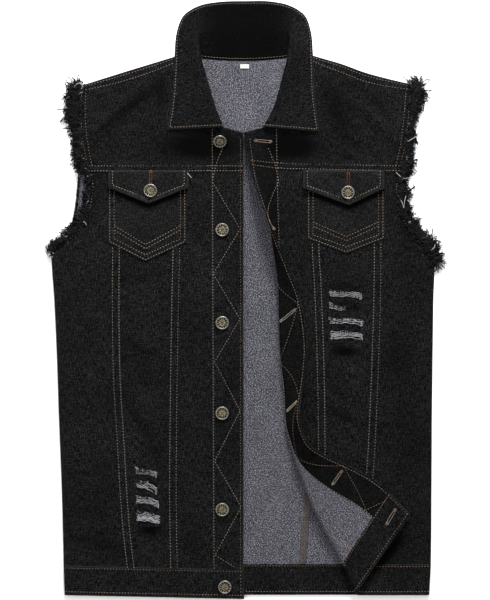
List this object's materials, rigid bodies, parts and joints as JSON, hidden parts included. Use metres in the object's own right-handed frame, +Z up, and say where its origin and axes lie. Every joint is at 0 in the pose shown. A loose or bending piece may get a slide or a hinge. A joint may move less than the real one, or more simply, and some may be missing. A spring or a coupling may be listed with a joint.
{
  "type": "denim vest",
  "caption": "Sleeveless black denim vest with fringed armholes, lying flat, one front edge turned back.",
  "frame": {"origin": "on the underside of the back's centre panel, where it rests", "axes": "+Z up from the surface it lies on, +Y from the hem to the collar, +X to the wearer's left"},
  "size_m": [0.5376, 0.7888, 0.0334],
  "materials": {
    "black_denim": "washed black denim twill, dry and matt",
    "grey_reverse": "grey weft-faced reverse of the denim",
    "frayed_thread": "raw frayed cotton threads",
    "old_brass": "antiqued, worn bright at the rim",
    "white_tape": "plain woven tape"
  },
  "bodies": {
    "root": {"back_yoke": "grey_reverse", "back_center": "grey_reverse", "back_side_right": "grey_reverse", "back_side_left": "grey_reverse", "back_waistband": "black_denim", "neck_label": "white_tape", "collar": "black_denim", "inner_panel_right": "black_denim", "mid_panel_right": "black_denim", "side_panel_right": "black_denim", "placket_right": "black_denim", "front_waistband_right": "black_denim", "front_yoke_right": "black_denim", "pocket_right": "black_denim", "flap_right": "black_denim", "inner_panel_left": "black_denim", "mid_panel_left": "black_denim", "side_panel_left": "black_denim", "placket_left": "black_denim", "front_waistband_left": "black_denim", "front_yoke_left": "black_denim", "pocket_left": "black_denim", "flap_left": "black_denim", "placket_button_1": "old_brass", "placket_button_2": "old_brass", "placket_button_3": "old_brass", "placket_button_4": "old_brass", "placket_button_5": "old_brass", "placket_button_6": "old_brass", "flap_button_right": "old_brass", "flap_button_left": "old_brass", "fringe_back_right": "frayed_thread", "fringe_back_left": "frayed_thread", "fringe_front_right": "frayed_thread", "fringe_front_left": "frayed_thread"}
  },
  "joints": []
}
